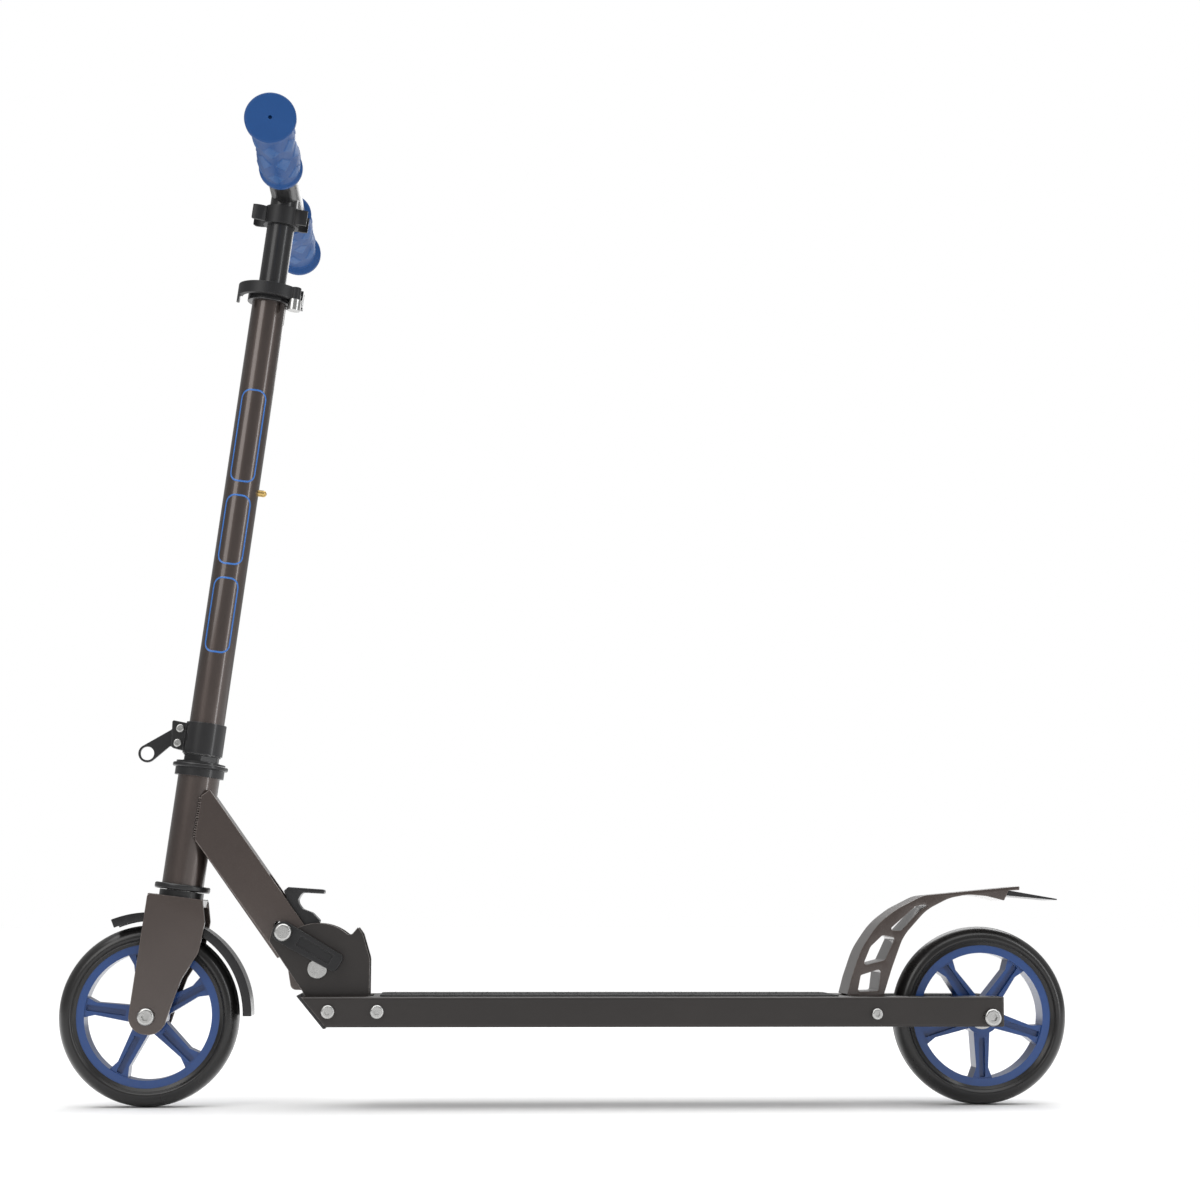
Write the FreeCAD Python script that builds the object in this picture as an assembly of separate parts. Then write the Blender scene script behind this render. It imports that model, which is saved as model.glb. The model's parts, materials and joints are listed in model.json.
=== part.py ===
"""Folding kick scooter.

Millimetres, +Z up, front wheel towards -X, origin on the floor midway between the wheels.
"""

import FreeCAD, Part
import math
import os

V = FreeCAD.Vector

# Wheels
wheelbase = 680.0
wheel_radius = 72.5
tyre_width = 30.0
tyre_depth = 15.2
rim_depth = 6.3
hub_radius = 15.0
spoke_count = 5
spoke_width = 11.0
front_spoke_angle = 28.0
rear_spoke_angle = 54.0
bearing_radius = 11.0
bearing_width = 7.0
hub_length = 26.0
axle_radius = 4.0
running_fit = 0.05
press_gap = 0.02
face_gap = 0.2

# Deck
deck_width = 100.0
deck_height = 24.0
deck_wall = 3.0
deck_floor = 2.5
floor_lip = 7.0
deck_front_from_axle = 124.0
deck_front_slope = 20.0
dropout_length = 10.0
axle_above_deck_bottom = 7.5
bolt_above_deck_bottom = 12.2
tape_thickness = 1.0
tape_margin = 4.0
brake_slot_ahead = 21.0
brake_pivot_ahead = 21.7
brake_pivot_height = 10.3
small_bolt_radius = 3.0
hole_gap = 0.1
spring_coil_radius = 4.05
spring_wire_radius = 0.75
spring_length = 12.0

# Fold joint
pivot_from_deck_front = 11.5
pivot_above_deck = 21.5
pivot_radius = 5.0
lock_radius = 40.0
lock_angle = -43.3
fold_angle = 83.0
lock_bolt_radius = 3.0
notch_gap = 0.4
plate_thickness = 4.0
plate_gap = 0.4
latch_travel = 7.0
bracket_length = 42.0
pivot_head = 1.5
lever_length = 52.5
lever_droop = 30.0

# Neck and head tube
neck_width = 38.0
neck_depth = 33.0
neck_wall = 3.0
head_lean = 7.0
head_tube_radius = 17.0
head_tube_wall = 2.0
head_tube_length = 88.4
cup_radius = 22.5
neck_below_head_top = 21.0

# Fork and stem
fork_offset = 11.0
fork_inner = 44.0
fork_wall = 3.5
fork_eye = 14.0
crown_clearance = 18.5
crown_height = 6.5
steerer_radius = 12.45
steerer_wall = 3.0
steerer_insert = 50.0
stem_radius = 14.3
stem_bore = 12.5
stem_length = 398.0
fender_gap = 7.5
fender_wall = 3.0
fender_half = 17.5
fender_start = 7.0
fender_end = 119.0
clamp_reach = 22.5
lever_side = 16.5
strap_height = 26.0
eye_reach = 44.4
eye_drop = 4.2
eye_hole = 5.5

# Handlebar
bar_tube_radius = 11.5
bar_tube_wall = 1.6
bar_insert = 292.0
bar_above_stem = 86.0
cross_radius = 12.7
cross_bore = 9.6
cross_half = 52.0
grip_inner = 62.0
bar_half_width = 190.0
handle_tube_radius = 9.5
clip_below_bar = 31.0
clip_height = 15.5
height_up = 100.0
height_down = 40.0
guide_pin_below_top = 175.0
guide_pin_radius = 2.8

# Places that follow from the sizes
front_axle = V(-wheelbase / 2, 0, wheel_radius)
rear_axle = V(wheelbase / 2, 0, wheel_radius)
deck_bottom = wheel_radius - axle_above_deck_bottom
deck_top = deck_bottom + deck_height
deck_front = front_axle.x + deck_front_from_axle
deck_rear = rear_axle.x + dropout_length
bolt_z = deck_bottom + bolt_above_deck_bottom
pivot = V(deck_front + pivot_from_deck_front, 0, deck_top + pivot_above_deck)
bracket_inner = neck_width / 2 + plate_gap
rib_inner = bracket_inner + plate_thickness + hole_gap
lean = math.radians(head_lean)
steer_base = front_axle + V(fork_offset * math.cos(lean), 0, -fork_offset * math.sin(lean))
crown_under = wheel_radius + crown_clearance
crown_top = crown_under + crown_height
head_bottom = crown_top + 10.1
head_top = head_bottom + head_tube_length
stem_bottom = head_top + 18.0
stem_top = stem_bottom + stem_length
cross_height = stem_top + bar_above_stem
brake_pivot = V(rear_axle.x - wheel_radius - brake_pivot_ahead, 0, deck_bottom + brake_pivot_height)
slot_start = brake_pivot.x - brake_slot_ahead
bracket_back = pivot.x + bracket_length

shapes = {}


def save(name, *solids):
    shapes[name] = solids[0] if len(solids) == 1 else Part.makeCompound(list(solids))


def rod(base, axis, radius, length):
    return Part.makeCylinder(radius, length, base, axis)


def tube(base, axis, outer, inner, length):
    return rod(base, axis, outer, length).cut(rod(base - axis, axis, inner, length + 2))


def across(x, z, radius, y0, y1):
    """A cylinder along Y."""
    return rod(V(x, y0, z), V(0, 1, 0), radius, y1 - y0)


def across_tube(x, z, outer, inner, y0, y1):
    return across(x, z, outer, y0, y1).cut(across(x, z, inner, y0 - 1, y1 + 1))


def block(x0, x1, y0, y1, z0, z1):
    return Part.makeBox(x1 - x0, y1 - y0, z1 - z0, V(x0, y0, z0))


def outline(corners):
    """A closed wire in XZ through (x, z, radius) corners, each rounded by its radius."""
    count = len(corners)
    ends = []
    for i, (x, z, r) in enumerate(corners):
        here = V(x, 0, z)
        before = V(corners[i - 1][0], 0, corners[i - 1][1]) - here
        after = V(corners[(i + 1) % count][0], 0, corners[(i + 1) % count][1]) - here
        before.normalize()
        after.normalize()
        half = before.getAngle(after) / 2
        if r <= 0 or half > math.radians(89.5):
            ends.append((here, None, here))
            continue
        reach = r / math.tan(half)
        middle = before + after
        middle.normalize()
        top = here + middle * (r / math.sin(half) - r)
        ends.append((here + before * reach, top, here + after * reach))
    edges = []
    for i, (start, top, end) in enumerate(ends):
        if top is not None:
            edges.append(Part.Arc(start, top, end).toShape())
        following = ends[(i + 1) % count][0]
        if end.distanceToPoint(following) > 1e-6:
            edges.append(Part.LineSegment(end, following).toShape())
    return Part.Wire(edges)


def plate(corners, y0, y1):
    """The rounded outline as a plate from y0 to y1."""
    face = Part.Face(outline(corners))
    face.translate(V(0, y0, 0))
    return face.extrude(V(0, y1 - y0, 0))


def polar(centre, radius, degrees):
    a = math.radians(degrees)
    return centre.x + radius * math.cos(a), centre.z + radius * math.sin(a)


def band(centre, inner, outer, start, end, y0, y1):
    """A ring sector about a Y axis, from start to end in degrees above +X."""
    middle = (start + end) / 2
    a, b, c = [V(*p[:1], 0, p[1]) for p in (polar(centre, outer, d) for d in (start, middle, end))]
    d, e, f = [V(*p[:1], 0, p[1]) for p in (polar(centre, inner, d) for d in (end, middle, start))]
    wire = Part.Wire([
        Part.Arc(a, b, c).toShape(), Part.LineSegment(c, d).toShape(),
        Part.Arc(d, e, f).toShape(), Part.LineSegment(f, a).toShape()])
    face = Part.Face(wire)
    face.translate(V(0, y0, 0))
    return face.extrude(V(0, y1 - y0, 0))


def leaning(shape):
    """Moves a shape from the steering frame, whose Z is the steering axis, to its place."""
    shape = shape.copy()
    shape.rotate(V(0, 0, 0), V(0, 1, 0), head_lean)
    shape.translate(steer_base)
    return shape


def steer_point(x, s):
    """A point of the steering frame in the scooter's frame."""
    return steer_base + V(x * math.cos(lean) + s * math.sin(lean), 0,
                          s * math.cos(lean) - x * math.sin(lean))


def fuse(*parts):
    whole = parts[0]
    for part in parts[1:]:
        whole = whole.fuse(part)
    return whole.removeSplitter()


def round_edges(shape, radius, chosen):
    """Rounds the edges that chosen(edge) picks."""
    picked = [e for e in shape.Edges if chosen(e)]
    return shape.makeFillet(radius, picked) if picked else shape


def hex_prism(x, z, across_flats, y0, y1):
    corner = across_flats / math.sqrt(3)
    points = [V(x + corner * math.cos(math.radians(60 * k)), y0, z + corner * math.sin(math.radians(60 * k)))
              for k in range(7)]
    return Part.Face(Part.makePolygon(points)).extrude(V(0, y1 - y0, 0))


def cap_bolt(x, z, radius, y_seat, length, head_radius=7.0, head=4.5):
    """A round-headed bolt whose head lies on the -Y side of y_seat and whose shank runs to +Y."""
    dome = across(x, z, head_radius, y_seat - head, y_seat)
    dome = round_edges(dome, head * 0.45, lambda e: abs(e.BoundBox.YMax - (y_seat - head)) < 1e-3)
    socket = hex_prism(x, z, head_radius * 0.8, y_seat - head - 1, y_seat - head * 0.4)
    return fuse(dome.cut(socket), across(x, z, radius, y_seat - 0.5, y_seat + length))


def cap_nut(x, z, radius, y_seat, thickness=6.0, head_radius=7.0):
    """A round cap nut that lies on the +Y side of y_seat and takes the bolt's end."""
    dome = across(x, z, head_radius, y_seat, y_seat + thickness)
    dome = round_edges(dome, 2.0, lambda e: abs(e.BoundBox.YMin - (y_seat + thickness)) < 1e-3)
    return dome.cut(across(x, z, radius + running_fit, y_seat - 1, y_seat + thickness - 1.5))


def make_wheel(axle, spoke_angle, prefix):
    """Tyre, rim, two bearings and the sleeve between them."""
    half = tyre_width / 2
    rim_radius = wheel_radius - tyre_depth
    ring = rim_radius - rim_depth
    crown = 10.0
    section = Part.Wire([
        Part.LineSegment(V(rim_radius, -half + 3, 0), V(wheel_radius - crown, -half, 0)).toShape(),
        Part.Arc(V(wheel_radius - crown, -half, 0), V(wheel_radius - 2.6, -half + 5.2, 0),
                 V(wheel_radius, 0, 0)).toShape(),
        Part.Arc(V(wheel_radius, 0, 0), V(wheel_radius - 2.6, half - 5.2, 0),
                 V(wheel_radius - crown, half, 0)).toShape(),
        Part.LineSegment(V(wheel_radius - crown, half, 0), V(rim_radius, half - 3, 0)).toShape(),
        Part.LineSegment(V(rim_radius, half - 3, 0), V(rim_radius, -half + 3, 0)).toShape()])
    tyre = Part.Face(section).revolve(V(0, 0, 0), V(0, 1, 0), 360)
    tyre.translate(axle)
    save(prefix + "_tyre", tyre)

    rim_half = half - 3.5
    rim = across_tube(0, 0, rim_radius - press_gap, ring, -rim_half, rim_half)
    hub = across(0, 0, hub_radius, -hub_length / 2, hub_length / 2)
    spokes = []
    reach = ring + rim_depth / 2
    for k in range(spoke_count):
        arm = plate([(hub_radius * 0.5, -spoke_width / 2 - 1.5, 0), (reach - 12, -spoke_width / 2 + 0.5, 0),
                     (reach, -spoke_width / 2 - 4, 0), (reach, spoke_width / 2 + 4, 0),
                     (reach - 12, spoke_width / 2 - 0.5, 0), (hub_radius * 0.5, spoke_width / 2 + 1.5, 0)],
                    -rim_half + 1.5, rim_half - 1.5)
        for side in (-1, 1):
            y0, y1 = sorted((side * (rim_half - 1.5), side * (rim_half - 5)))
            arm = arm.cut(plate([(hub_radius + 3, -spoke_width / 2 + 3, 1.2),
                                 (ring - 1, -spoke_width / 2 + 3, 1.2),
                                 (ring - 1, spoke_width / 2 - 3, 1.2),
                                 (hub_radius + 3, spoke_width / 2 - 3, 1.2)], y0, y1))
        arm.rotate(V(0, 0, 0), V(0, 1, 0), -(spoke_angle + 360.0 * k / spoke_count))
        spokes.append(arm)
    body = fuse(rim, hub, *spokes)
    body = body.cut(across(0, 0, bearing_radius + press_gap, -hub_length, -hub_length / 2 + bearing_width))
    body = body.cut(across(0, 0, bearing_radius + press_gap, hub_length / 2 - bearing_width, hub_length))
    body = body.cut(across(0, 0, bearing_radius - 2, -hub_length, hub_length))
    body.translate(axle)
    save(prefix + "_rim", body)

    bearings = []
    for y0 in (-hub_length / 2, hub_length / 2 - bearing_width):
        ring_shape = across_tube(axle.x, axle.z, bearing_radius, axle_radius + running_fit,
                                 y0, y0 + bearing_width)
        for y in (y0 - 0.1, y0 + bearing_width - 0.7):
            ring_shape = ring_shape.cut(across_tube(axle.x, axle.z, bearing_radius - 2.2, axle_radius + 2.2,
                                                    y, y + 0.8))
        bearings.append(ring_shape)
    save(prefix + "_bearings", *bearings)
    save(prefix + "_bearing_sleeve",
         across_tube(axle.x, axle.z, axle_radius + 2.5, axle_radius + running_fit,
                     -hub_length / 2 + bearing_width, hub_length / 2 - bearing_width))


def make_side_spacers(axle, name):
    y = hub_length / 2 + face_gap
    save(name, *[across_tube(axle.x, axle.z, axle_radius + 3.5, axle_radius + running_fit,
                             *sorted((s * y, s * fork_inner / 2))) for s in (-1, 1)])


def make_deck():
    """Extruded deck with a slot for the rear wheel and brake, and one for the fold bracket."""
    half = deck_width / 2
    long_part = plate([(deck_front, deck_top, 0), (deck_rear, deck_top, 1.0), (deck_rear, deck_bottom, 1.0),
                       (deck_front + deck_front_slope, deck_bottom, 0)], -half, half)
    long_part = round_edges(long_part, 2.0, lambda e: e.BoundBox.XLength > 300)
    for y0, y1 in ((-half + deck_wall, -rib_inner - deck_wall), (-rib_inner, rib_inner),
                   (rib_inner + deck_wall, half - deck_wall)):
        long_part = long_part.cut(block(deck_front - 5, deck_rear + 5, y0, y1,
                                        deck_bottom + deck_floor, deck_top - deck_wall))
    long_part = long_part.cut(block(deck_front - 5, deck_rear + 5, floor_lip - rib_inner, rib_inner - floor_lip,
                                    deck_bottom - 1, deck_bottom + deck_floor + 1))
    long_part = long_part.cut(block(slot_start, deck_rear + 5, -rib_inner, rib_inner,
                                    deck_bottom - 1, deck_top + 1))
    long_part = long_part.cut(block(deck_front - 5, bracket_back + 3, -rib_inner, rib_inner,
                                    deck_bottom - 1, deck_top + 1))
    for x, z, radius in fixing_holes():
        long_part = long_part.cut(across(x, z, radius + hole_gap, -half - 1, half + 1))
    save("deck", long_part)
    tape_front = bracket_back + 9.0
    tape = plate([(tape_front, deck_top, 0), (slot_start - 8, deck_top, 0),
                  (slot_start - 8, deck_top + tape_thickness, 0), (tape_front, deck_top + tape_thickness, 0)],
                 -half + tape_margin, half - tape_margin)
    save("grip_tape", round_edges(tape, 8.0, lambda e: e.BoundBox.DiagonalLength < 1.5 * tape_thickness))


def bracket_bolt_places():
    return [deck_front + 21.5, deck_front + 60.5]


def fixing_holes():
    holes = [(x, bolt_z, small_bolt_radius) for x in bracket_bolt_places()]
    holes.append((brake_pivot.x, brake_pivot.z, small_bolt_radius))
    holes.append((rear_axle.x, rear_axle.z, axle_radius))
    return holes


def make_front_cap():
    """Slanted plate that closes the deck's front."""
    thick = 3.0
    half = deck_width / 2
    slope = V(deck_front_slope, 0, -deck_height)
    slope.normalize()
    a = V(deck_front, 0, deck_top) - slope * 1.5
    b = V(deck_front + deck_front_slope, 0, deck_bottom) + slope * 1.5
    cap = plate([(a.x - thick, a.z, 0.6), (a.x - hole_gap, a.z, 0.6),
                 (b.x - hole_gap, b.z, 0.6), (b.x - thick, b.z, 0.6)], -half, half)
    save("deck_front_cap", cap)


def lock_bolt_place(turn=0.0):
    a = math.radians(lock_angle + turn)
    return V(pivot.x + lock_radius * math.sin(a), 0, pivot.z + lock_radius * math.cos(a))


def make_fold_bracket():
    """Two plates that stand in the deck; the lock bolt rides over them from notch to notch."""
    rest = lock_bolt_place()
    folded = lock_bolt_place(fold_angle)
    low = deck_bottom + 3.0
    back = bracket_back
    under = deck_top - deck_wall - 0.5
    tail = bracket_bolt_places()[1] + 9.0
    shape = [(deck_front + deck_front_slope + 3, low, 2), (tail, low, 3), (tail, under, 3), (back, under, 0),
             (back, pivot.z + 8, 12), (folded.x + 10.5, folded.z - 3, 5), (folded.x + 4, folded.z + 6, 2),
             (pivot.x, pivot.z + lock_radius + 8, 0), (rest.x + 2, rest.z + 10, 2), (rest.x - 9, rest.z + 4, 5),
             (rest.x - 12, rest.z - 7, 4), (deck_front + 1.5, deck_top + 1.0, 2), (deck_front + 4, under, 1)]
    track = lock_radius - lock_bolt_radius - notch_gap
    for side, name in ((-1, "left"), (1, "right")):
        y0, y1 = sorted((side * bracket_inner, side * (bracket_inner + plate_thickness)))
        one = plate(shape, y0, y1)
        one = one.cut(band(pivot, track, lock_radius + 30, 90 - lock_angle, 90 - lock_angle - fold_angle,
                           y0 - 1, y1 + 1))
        for seat in (rest, folded):
            one = one.cut(across(seat.x, seat.z, lock_bolt_radius + notch_gap, y0 - 1, y1 + 1))
            outward = V(seat.x - pivot.x, 0, seat.z - pivot.z).normalize()
            one = one.cut(slot_box(seat, seat + outward * 30, lock_bolt_radius + notch_gap, y0 - 1, y1 + 1))
        one = one.cut(across(pivot.x, pivot.z, pivot_radius + running_fit, y0 - 1, y1 + 1))
        for x in bracket_bolt_places():
            one = one.cut(across(x, bolt_z, small_bolt_radius + hole_gap, y0 - 1, y1 + 1))
        solids = sorted(one.Solids, key=lambda s: -s.Volume)
        save("fold_plate_" + name, solids[0])
    save("bracket_spacers", *[across_tube(x, bolt_z, 2 * small_bolt_radius, small_bolt_radius + hole_gap,
                                          -bracket_inner, bracket_inner) for x in bracket_bolt_places()])


def make_deck_fasteners():
    half = deck_width / 2
    bolt = small_bolt_radius
    save("bracket_bolts", *[cap_bolt(x, bolt_z, bolt, -half, deck_width + 4, 5.5, 3.5)
                            for x in bracket_bolt_places()])
    save("brake_pivot_bolt", cap_bolt(brake_pivot.x, brake_pivot.z, bolt, -half, deck_width + 4, 4.6, 3.5))
    save("rear_axle_bolt", cap_bolt(rear_axle.x, rear_axle.z, axle_radius, -half, deck_width + 4.5, 7.0, 4.5))
    save("deck_cap_nuts", *[cap_nut(x, bolt_z, bolt, half, 6.0, 5.5) for x in bracket_bolt_places()],
         cap_nut(brake_pivot.x, brake_pivot.z, bolt, half, 6.0, 4.6),
         cap_nut(rear_axle.x, rear_axle.z, axle_radius, half, 6.5, 7.0))
    in_chamber = axle_above_deck_bottom - deck_floor - hole_gap
    outer = [across_tube(rear_axle.x, rear_axle.z, in_chamber, axle_radius + running_fit,
                         *sorted((s * (rib_inner + deck_wall), s * (half - deck_wall)))) for s in (-1, 1)]
    inner = [across_tube(rear_axle.x, rear_axle.z, axle_radius + 3.5, axle_radius + running_fit,
                         *sorted((s * (hub_length / 2 + face_gap), s * rib_inner))) for s in (-1, 1)]
    save("rear_axle_spacers", *outer, *inner)
    y = bracket_inner + plate_thickness
    save("fold_pivot_bolt", cap_bolt(pivot.x, pivot.z, pivot_radius, -y, 2 * y + 4.5, 8.0, pivot_head),
         cap_nut(pivot.x, pivot.z, pivot_radius, y, 6.5, 8.0))


def fender_point(gap, degrees):
    """A point beyond the rear tyre by gap, at an angle above +X about the rear axle."""
    return polar(rear_axle, wheel_radius + gap, degrees)


def make_rear_fender():
    """Extruded brake fender with a lattice profile, hinged in the deck."""
    def corners(points):
        return [(*fender_point(gap, degrees), r) for gap, degrees, r in points]
    foot = deck_top + 1.2
    lower = (brake_pivot.x + 7.5, brake_pivot.z)
    outer = corners([(37.8, 73.4, 0.8), (34.8, 72.9, 0.8)])
    notch_top = fender_point(32.2, 77.6)
    notch_low = fender_point(23.2, 78.9)
    outer += [(notch_top[0], notch_top[1], 0), (notch_low[0], notch_low[1], 1.0)]
    outer += corners([(25.2, 88, 30), (27.0, 97, 30), (27.2, 106, 30), (25.5, 118.4, 40), (20, 135.7, 40),
                      (12.8, 153.0, 20)])
    heel = fender_point(12.6, 166.8)
    outer += [(heel[0], foot, 0), (heel[0] - 3, foot - 5, 3), (lower[0], brake_pivot.z - 7, 4),
              (brake_pivot.x - 7.5, brake_pivot.z - 7, 4), (brake_pivot.x - 8, foot - 5, 4)]
    toe = fender_point(41.5, 170.3)
    outer += [(toe[0] - 1, foot, 0)]
    outer += corners([(41.5, 164, 40), (42.5, 152, 60), (42.5, 139, 60), (39.8, 129, 40), (37.2, 116.8, 25)])
    body = plate(outer, -22.0, 22.0)
    holes = [
        [(34.0, 169.4, 2), (34.6, 162.0, 2), (20.9, 155.8, 2), (17.4, 167.0, 2)],
        [(35.6, 158.0, 2), (36.6, 149.0, 8), (33.6, 142.0, 2), (24.4, 138.8, 2), (21.0, 151.0, 2)],
        [(32.2, 138.4, 1.5), (32.6, 122.0, 1.5), (28.6, 113.6, 1.2), (28.0, 121.0, 15), (24.6, 134.6, 1.5)],
    ]
    for hole in holes:
        body = body.cut(plate(corners(hole), -23.0, 23.0))
    body = body.cut(across(brake_pivot.x, brake_pivot.z, small_bolt_radius + running_fit, -30, 30))
    save("brake_fender", body)
    x0, z0 = notch_top
    x1, z1 = notch_low
    mid = ((x0 + x1) / 2, (z0 + z1) / 2)
    tip = fender_point(41.2, 56.6)
    blade = plate([(x0, z0, 0), (tip[0], tip[1] + 0.5, 0.3), (tip[0], tip[1] - 0.5, 0.3), (mid[0], mid[1], 0)],
                  -22.0, 22.0)
    save("fender_tail", blade)


def make_brake_spring():
    """A coil on the brake's bolt, in the deck's +Y chamber."""
    helix = Part.makeHelix(2.0, spring_length, spring_coil_radius)
    section = Part.Wire([Part.makeCircle(spring_wire_radius, V(spring_coil_radius, 0, 0), V(0, 1, 0.06))])
    spring = Part.Wire(helix).makePipeShell([section], True, True)
    spring.rotate(V(0, 0, 0), V(1, 0, 0), -90)
    spring.translate(V(brake_pivot.x, rib_inner + deck_wall + 1.0, brake_pivot.z))
    save("brake_spring", spring)


def make_fork():
    """Fork, steerer, crown race, fender and the front axle's fixings, in the steering frame."""
    half = fork_inner / 2
    front, rear = -fork_offset - fork_eye, -fork_offset + fork_eye
    leg = [(front, -fork_eye, fork_eye - 0.05), (rear, -fork_eye, fork_eye - 0.05), (rear + 4, 8, 6),
           (12.5, crown_top - 65, 12), (23, crown_top - 42, 14), (24.5, crown_top - 18, 8), (20, crown_top, 3),
           (front + 0.5, crown_top, 3), (front, crown_top - 50, 0)]
    legs = [plate(leg, *sorted((s * half, s * (half + fork_wall)))) for s in (-1, 1)]
    bridge = block(front + 0.5, 20, -half - 0.1, half + 0.1, crown_under, crown_top)
    body = fuse(bridge, *legs)
    body = body.cut(across(-fork_offset, 0, axle_radius + 0.1, -half - 10, half + 10))
    body = body.cut(rod(V(0, 0, crown_under - 1), V(0, 0, 1), 3.1, crown_height + 2))
    save("fork", leaning(body))
    up = V(0, 0, 1)
    steerer_top = stem_bottom + steerer_insert
    save("steerer", leaning(tube(V(0, 0, crown_top), up, steerer_radius, steerer_radius - steerer_wall,
                                 steerer_top - crown_top)))
    race = tube(V(0, 0, crown_top), up, 18.0, steerer_radius + press_gap, head_bottom - 5.3 - crown_top)
    save("crown_race", leaning(race))
    nut = tube(V(0, 0, head_top + 12.0), up, 15.2, steerer_radius + press_gap, 5.7)
    for k in range(6):
        cut = block(13.6, 20, -12, 12, head_top + 12.5, head_top + 16.8)
        cut.rotate(V(0, 0, 0), up, 60 * k)
        nut = nut.cut(cut)
    save("headset_nut", leaning(nut))

    seat = fork_inner / 2 + fork_wall
    save("front_axle_bolt", leaning(cap_bolt(-fork_offset, 0, axle_radius, -seat, 2 * seat + 4.5, 7.0, 4.5)),
         leaning(cap_nut(-fork_offset, 0, axle_radius, seat, 6.5, 7.0)))

    hub = V(-fork_offset, 0, 0)
    inner = wheel_radius + fender_gap
    start, end = fender_start, fender_end
    lip_inside = fender_half - 2.0
    skin = band(hub, inner, inner + fender_wall, start, end, -fender_half, fender_half)
    lips = [band(hub, inner - 4, inner + 0.5, start, end, *sorted((s * lip_inside, s * fender_half)))
            for s in (-1, 1)]
    boss = rod(V(0, 0, inner - 1.0), up, 8.0, crown_under - inner + 1.0)
    fender = fuse(skin, boss, *lips)
    fender = fender.cut(rod(V(0, 0, inner - 5), up, 3.1, 30))
    fender = fender.cut(across(hub.x, hub.z, inner, -lip_inside, lip_inside))

    def is_end_corner(edge):
        middle = edge.CenterOfMass
        angle = math.degrees(math.atan2(middle.z, middle.x + fork_offset))
        at_end = min(abs(angle - start), abs(angle - end)) < 1
        on_skin = math.hypot(middle.x - hub.x, middle.z) > inner + 0.5
        return at_end and on_skin and edge.Length < 3.5 and abs(middle.y) > fender_half - 0.5

    fender = round_edges(fender, 6.0, is_end_corner)
    save("front_fender", leaning(fender))
    head = rod(V(0, 0, inner - 4.3), up, 5.0, 2.6)
    save("fender_screw", leaning(fuse(head, rod(V(0, 0, inner - 2.0), up, 3.0, crown_top - inner + 1.8))))


def make_neck():
    """Head tube, headset cups and bearings, and the channel-shaped neck that folds."""
    up = V(0, 0, 1)
    head_bore = head_tube_radius - head_tube_wall
    save("head_tube", leaning(tube(V(0, 0, head_bottom), up, head_tube_radius, head_bore, head_tube_length)))
    low = tube(V(0, 0, head_bottom - 5), up, cup_radius, 13.9, 5)
    low = round_edges(low, 1.5, lambda e: e.BoundBox.XLength > 2 * cup_radius - 1)
    low = fuse(low, tube(V(0, 0, head_bottom - 1), up, head_bore - press_gap, 13.9, 9))
    low = low.cut(rod(V(0, 0, head_bottom - 6), up, 13.9 + press_gap, 11))
    save("lower_cup", leaning(low))
    high = tube(V(0, 0, head_top), up, 20.0, 13.9, 11.7)
    flange = tube(V(0, 0, head_top + 6.5), up, cup_radius, 13.9, 3.6)
    flange = round_edges(flange, 1.2, lambda e: e.BoundBox.XLength > 2 * cup_radius - 1)
    high = fuse(high, flange, tube(V(0, 0, head_top - 8), up, head_bore - press_gap, 13.9, 9))
    high = high.cut(rod(V(0, 0, head_top - 3), up, 13.9 + press_gap, 20))
    save("upper_cup", leaning(high))
    bearings = [tube(V(0, 0, s), up, 13.9, steerer_radius + running_fit, 6)
                for s in (head_bottom - 4.5, head_top - 2.5)]
    save("headset_bearings", *[leaning(b) for b in bearings])

    joint = steer_point(0, head_top - neck_below_head_top)
    bolt = lock_bolt_place()
    along = bolt - joint
    reach = along.Length
    along.normalize()
    out = V(-along.z, 0, along.x)
    if out.x < 0:
        out = out * -1
    half = neck_depth / 2
    top_near = joint + out * half
    top_far = bolt + out * half + along * 12
    low_near = joint - out * half
    low_far = bolt - out * half + along * (lock_radius * 0.72)
    side = neck_width / 2
    foot = 17.0
    wing = [(top_near.x, top_near.z, 0), (top_far.x, top_far.z, 8), (pivot.x + foot, pivot.z + 6, 10),
            (pivot.x + foot, pivot.z - foot, foot - 1), (low_far.x + 3, pivot.z - foot, 5),
            (low_far.x, low_far.z + 4, 8), (low_near.x, low_near.z, 0)]
    head_hole = leaning(rod(V(0, 0, head_bottom - 30), up, head_tube_radius, head_tube_length + 60))
    behind = leaning(block(-60, 6, -40, 40, head_bottom - 60, head_top + 60))
    sides = []
    slot_end = bolt + V(bolt.x - pivot.x, 0, bolt.z - pivot.z).normalize() * (latch_travel + 0.5)
    for s in (-1, 1):
        y0, y1 = sorted((s * (side - neck_wall), s * side))
        one = plate(wing, y0, y1)
        for k in range(5):
            at = bolt + (slot_end - bolt) * (k / 4)
            one = one.cut(across(at.x, at.z, lock_bolt_radius + 0.3, y0 - 1, y1 + 1))
        one = one.cut(slot_box(bolt, slot_end, lock_bolt_radius + 0.3, y0 - 1, y1 + 1))
        sides.append(one)
    window = reach - 46
    lid = bar_between(joint + out * (half - neck_wall / 2), along, window, neck_wall, side - neck_wall + 0.1)
    floor = bar_between(joint - out * (half - neck_wall / 2), along, reach + 14, neck_wall,
                        side - neck_wall + 0.1)
    neck = fuse(lid, floor, *sides)
    neck = neck.cut(across(pivot.x, pivot.z, 7.0 + press_gap, -side - 1, side + 1))
    neck = neck.cut(head_hole).cut(behind)
    neck = max(neck.Solids, key=lambda s: s.Volume)
    save("neck", neck)
    save("pivot_sleeve", across_tube(pivot.x, pivot.z, 7.0, pivot_radius + running_fit, -side, side))


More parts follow.
